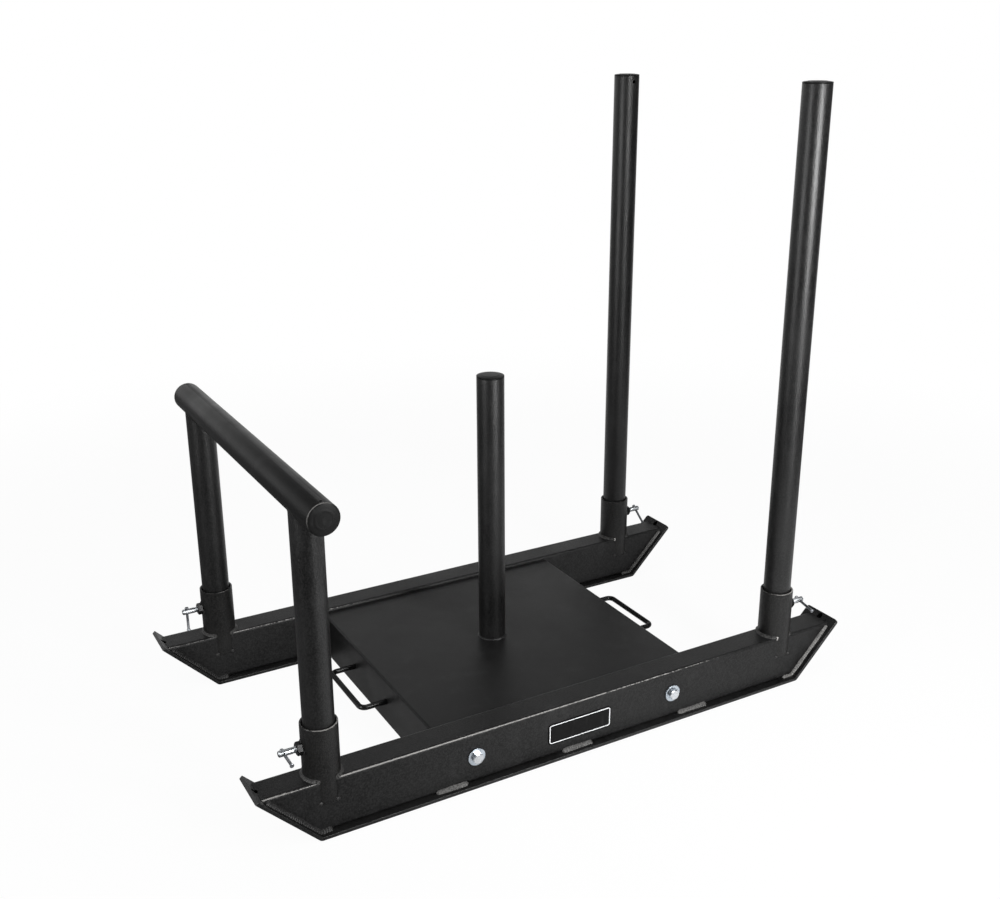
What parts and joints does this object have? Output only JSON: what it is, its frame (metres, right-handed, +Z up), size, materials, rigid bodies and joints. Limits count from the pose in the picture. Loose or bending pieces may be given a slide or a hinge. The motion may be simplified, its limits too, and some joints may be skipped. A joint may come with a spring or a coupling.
{
  "type": "weight sled",
  "caption": "Push and pull weight sled with mitred box-section runners on bent skid plates, a folded tray with a plate post, lift-out tall posts and a low cross-bar handle held by clamp screws.",
  "frame": {"origin": "on the floor, at the middle of the footprint, halfway between the runners and halfway along them", "axes": "+X along the runners from the push handle towards the tall posts, +Y from the near runner towards the far one, +Z up"},
  "size_m": [1.123, 0.6666, 1.061],
  "materials": {
    "powder_coat": "satin black textured powder coat",
    "gloss_black": "gloss black",
    "black_plastic": "fine grained",
    "bright_zinc": "bright zinc plate",
    "badge_black": "satin, with a pale border"
  },
  "bodies": {
    "frame": {"runner_tube_near": "powder_coat", "runner_tube_far": "powder_coat", "skid_plate_near": "powder_coat", "skid_plate_far": "powder_coat", "sleeve_handle_near": "powder_coat", "sleeve_handle_far": "powder_coat", "sleeve_tall_near": "powder_coat", "sleeve_tall_far": "powder_coat", "clamp_nut_handle_near": "gloss_black", "clamp_nut_handle_far": "gloss_black", "clamp_nut_tall_near": "gloss_black", "clamp_nut_tall_far": "gloss_black", "weight_tray": "powder_coat", "weight_post": "powder_coat", "weight_post_cap": "black_plastic", "grab_handle_handle": "gloss_black", "grab_handle_tall": "gloss_black", "tray_bolt_near_1": "bright_zinc", "tray_bolt_near_2": "bright_zinc", "tray_bolt_far_1": "bright_zinc", "tray_bolt_far_2": "bright_zinc", "outer_washer_near_1": "bright_zinc", "outer_washer_near_2": "bright_zinc", "outer_washer_far_1": "bright_zinc", "outer_washer_far_2": "bright_zinc", "inner_washer_near_1": "bright_zinc", "inner_washer_near_2": "bright_zinc", "inner_washer_far_1": "bright_zinc", "inner_washer_far_2": "bright_zinc", "tray_nut_near_1": "bright_zinc", "tray_nut_near_2": "bright_zinc", "tray_nut_far_1": "bright_zinc", "tray_nut_far_2": "bright_zinc", "badge_plate": "badge_black"},
    "push_handle": {"cross_tube": "powder_coat", "handle_upright_near": "powder_coat", "handle_upright_far": "powder_coat", "cross_tube_cap_near": "black_plastic", "cross_tube_cap_far": "black_plastic"},
    "tall_post_near": {"tall_post_near": "powder_coat", "tall_post_cap_near": "black_plastic"},
    "tall_post_far": {"tall_post_far": "powder_coat", "tall_post_cap_far": "black_plastic"},
    "clamp_screw_handle_near": {"clamp_screw_handle_near": "bright_zinc"},
    "clamp_screw_handle_far": {"clamp_screw_handle_far": "bright_zinc"},
    "clamp_screw_tall_near": {"clamp_screw_tall_near": "bright_zinc"},
    "clamp_screw_tall_far": {"clamp_screw_tall_far": "bright_zinc"},
    "tommy_bar_handle_near": {"tommy_bar_handle_near": "bright_zinc"},
    "tommy_bar_handle_far": {"tommy_bar_handle_far": "bright_zinc"},
    "tommy_bar_tall_near": {"tommy_bar_tall_near": "bright_zinc"},
    "tommy_bar_tall_far": {"tommy_bar_tall_far": "bright_zinc"}
  },
  "joints": [
    {"name": "push_handle_lift", "type": "slide", "parent": "frame", "child": "push_handle", "axis": [0, 0, 1], "range_m": [0, 0.15]},
    {"name": "tall_post_near_lift", "type": "slide", "parent": "frame", "child": "tall_post_near", "axis": [0, 0, 1], "range_m": [0, 0.15]},
    {"name": "tall_post_far_lift", "type": "slide", "parent": "frame", "child": "tall_post_far", "axis": [0, 0, 1], "range_m": [0, 0.15]},
    {"name": "clamp_handle_near_turn", "type": "hinge", "parent": "frame", "child": "clamp_screw_handle_near", "pos_m": [-0.447, -0.2585, 0.143], "axis": [-1, 0, 0], "range_deg": [0, 540]},
    {"name": "clamp_handle_far_turn", "type": "hinge", "parent": "frame", "child": "clamp_screw_handle_far", "pos_m": [-0.447, 0.2585, 0.143], "axis": [-1, 0, 0], "range_deg": [0, 540]},
    {"name": "clamp_tall_near_turn", "type": "hinge", "parent": "frame", "child": "clamp_screw_tall_near", "pos_m": [0.437, -0.2585, 0.143], "axis": [1, 0, 0], "range_deg": [0, 540]},
    {"name": "clamp_tall_far_turn", "type": "hinge", "parent": "frame", "child": "clamp_screw_tall_far", "pos_m": [0.437, 0.2585, 0.143], "axis": [1, 0, 0], "range_deg": [0, 540]},
    {"name": "tommy_bar_handle_near_slide", "type": "slide", "parent": "clamp_screw_handle_near", "child": "tommy_bar_handle_near", "axis": [0, 1, 0], "range_m": [0, 0.029]},
    {"name": "tommy_bar_handle_far_slide", "type": "slide", "parent": "clamp_screw_handle_far", "child": "tommy_bar_handle_far", "axis": [0, 0, 1], "range_m": [0, 0.029]},
    {"name": "tommy_bar_tall_near_slide", "type": "slide", "parent": "clamp_screw_tall_near", "child": "tommy_bar_tall_near", "axis": [0, 0.9781, 0.2079], "range_m": [0, 0.029]},
    {"name": "tommy_bar_tall_far_slide", "type": "slide", "parent": "clamp_screw_tall_far", "child": "tommy_bar_tall_far", "axis": [0, 0.7986, 0.6018], "range_m": [0, 0.029]}
  ]
}
